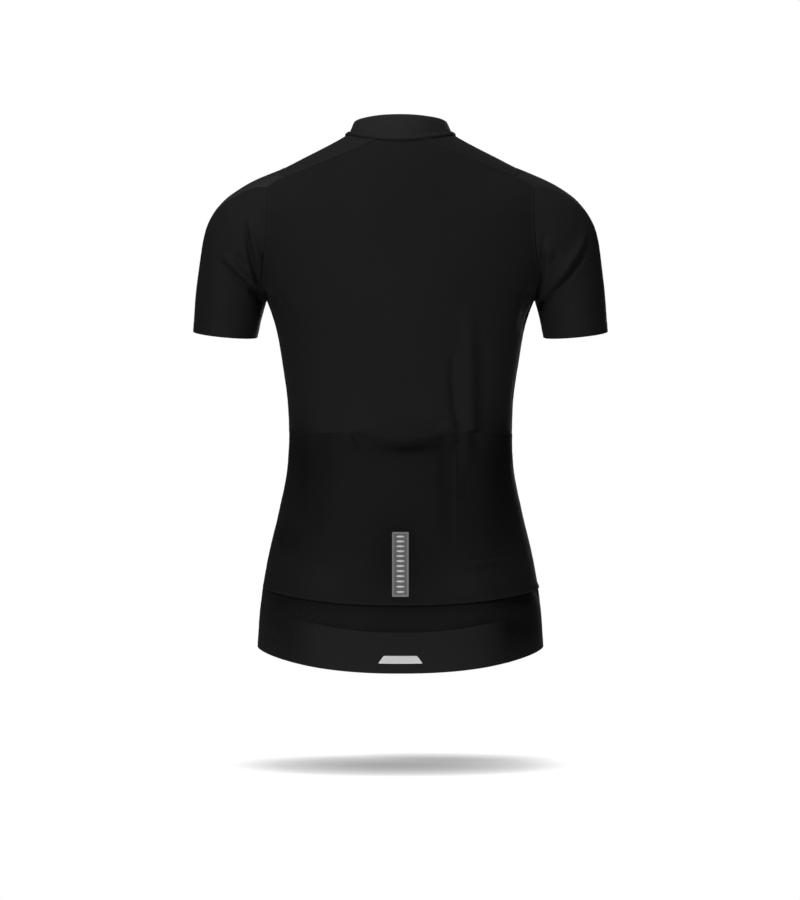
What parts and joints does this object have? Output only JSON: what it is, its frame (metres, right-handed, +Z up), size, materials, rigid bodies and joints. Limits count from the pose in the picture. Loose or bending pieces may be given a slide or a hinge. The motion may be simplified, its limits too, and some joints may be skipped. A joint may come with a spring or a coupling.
{
  "type": "short-sleeved cycling jersey",
  "caption": "Short-sleeved cycling jersey, filled out as worn, with a stand collar, a full-length front zip, an open pocket row on the back and a gripper band along the dropped hem.",
  "frame": {"origin": "midway between the two points where the shoulders meet the neck, where the wearer's shoulders hold the garment", "axes": "+Z up, -Y the front, +X the wearer's left"},
  "size_m": [0.464, 0.2299, 0.6116],
  "materials": {
    "body": "matt fine knit, black",
    "shoulder": "matt fine knit, black, a little lighter",
    "mesh": "matt open knit mesh, black",
    "pocket": "matt dense knit, black",
    "gripper": "smooth satin elastic, black",
    "collar": "matt knit, charcoal black",
    "tape": "matt woven tape, black",
    "zip": "satin coil, black",
    "metal": "satin black enamel",
    "label": "matt transfer patch, dark grey, bare",
    "reflective": "silver retroreflective tape"
  },
  "bodies": {
    "jersey": {"front_left": "shoulder", "front_right": "shoulder", "back_upper": "body", "back_lower": "mesh", "pocket_panel": "pocket", "hem_gripper": "gripper", "sleeve_left_back": "body", "sleeve_left_front": "shoulder", "sleeve_right_back": "body", "sleeve_right_front": "shoulder", "collar": "collar", "neck_band": "collar", "label_patch": "label", "reflective_tab": "reflective", "zip_tape_left": "tape", "zip_tape_right": "tape", "zip_chain": "zip", "zip_slider": "metal", "zip_box": "metal"},
    "zip_pull": {"zip_pull": "metal"}
  },
  "joints": [
    {"name": "pull_swing", "type": "hinge", "parent": "jersey", "child": "zip_pull", "pos_m": [0, -0.05528, -0.03261], "axis": [-1, 0, 0], "range_deg": [0, 150]}
  ]
}
